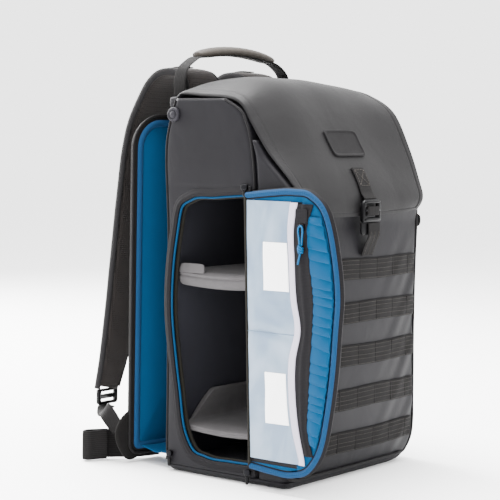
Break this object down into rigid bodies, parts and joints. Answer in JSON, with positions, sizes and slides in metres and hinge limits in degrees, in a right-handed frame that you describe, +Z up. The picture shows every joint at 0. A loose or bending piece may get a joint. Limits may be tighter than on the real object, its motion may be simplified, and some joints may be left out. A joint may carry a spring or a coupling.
{
  "type": "camera backpack",
  "caption": "Camera backpack with a side door folded open, padded camera cells, a buckled lid flap, a front pocket, a swung-out laptop panel and shoulder straps.",
  "frame": {"origin": "centre of the body's base, on the floor", "axes": "+Z up; -Y the face with the flap and the webbing rows; +Y the wearer's back; the open side door is on -X"},
  "size_m": [0.3442, 0.3866, 0.5165],
  "materials": {
    "coated_cloth": "coated nylon, matt with a soft sheen",
    "trim_black": "matt",
    "zip_tape": "woven tape",
    "webbing": "flat woven webbing",
    "harness_cloth": "matt woven",
    "air_mesh": "spacer mesh",
    "brushed_divider": "brushed loop fabric",
    "insert_binding": "woven binding",
    "blue_piping": "piping",
    "blue_binding": "grosgrain",
    "teal_lining": "plain woven lining",
    "frosted_film": "frosted film",
    "label_white": "plain",
    "pale_trim": "woven tape",
    "cyan_cord": "braided cord",
    "dark_metal": "dark plated",
    "moulded_black": "moulded",
    "ring_grey": "moulded",
    "rubber_patch": "moulded, bare"
  },
  "bodies": {
    "root": {"adjuster_left": "moulded_black", "adjuster_right": "moulded_black", "back_pad_left": "air_mesh", "back_pad_right": "air_mesh", "base_panel": "coated_cloth", "belt_left": "harness_cloth", "belt_right": "harness_cloth", "clear_pocket": "frosted_film", "compartment_ceiling": "brushed_divider", "cord_slider": "dark_metal", "door_binding": "blue_binding", "door_gather": "teal_lining", "door_hinge": "insert_binding", "door_lining": "teal_lining", "door_slider_bottom": "dark_metal", "door_slider_top": "dark_metal", "door_trim": "pale_trim", "door_zip": "zip_tape", "flap": "coated_cloth", "flap_buckle": "moulded_black", "flap_patch": "rubber_patch", "flap_strap": "webbing", "front_pocket": "coated_cloth", "handle_grip": "coated_cloth", "handle_webbing": "webbing", "harness_panel": "harness_cloth", "hook_tongue": "dark_metal", "insert_rim": "insert_binding", "label_lower": "label_white", "label_upper": "label_white", "laptop_floor": "teal_lining", "laptop_slider": "dark_metal", "lower_divider": "brushed_divider", "lower_webbing_left": "webbing", "lower_webbing_right": "webbing", "main_shell": "coated_cloth", "opening_piping": "blue_piping", "opening_zip": "zip_tape", "panel_binding": "blue_binding", "panel_hinge": "harness_cloth", "panel_lining": "teal_lining", "pocket_piping": "trim_black", "pocket_pull": "trim_black", "pocket_strap": "webbing", "pull_cord": "cyan_cord", "pull_knot": "cyan_cord", "pull_tail": "cyan_cord", "shoulder_strap_left": "air_mesh", "shoulder_strap_right": "air_mesh", "side_door": "coated_cloth", "side_ring": "ring_grey", "upper_divider": "brushed_divider", "webbing_row_1": "webbing", "webbing_row_2": "webbing", "webbing_row_3": "webbing", "webbing_row_4": "webbing", "webbing_row_5": "webbing", "yoke": "coated_cloth", "zip_garage": "zip_tape"}
  },
  "joints": []
}
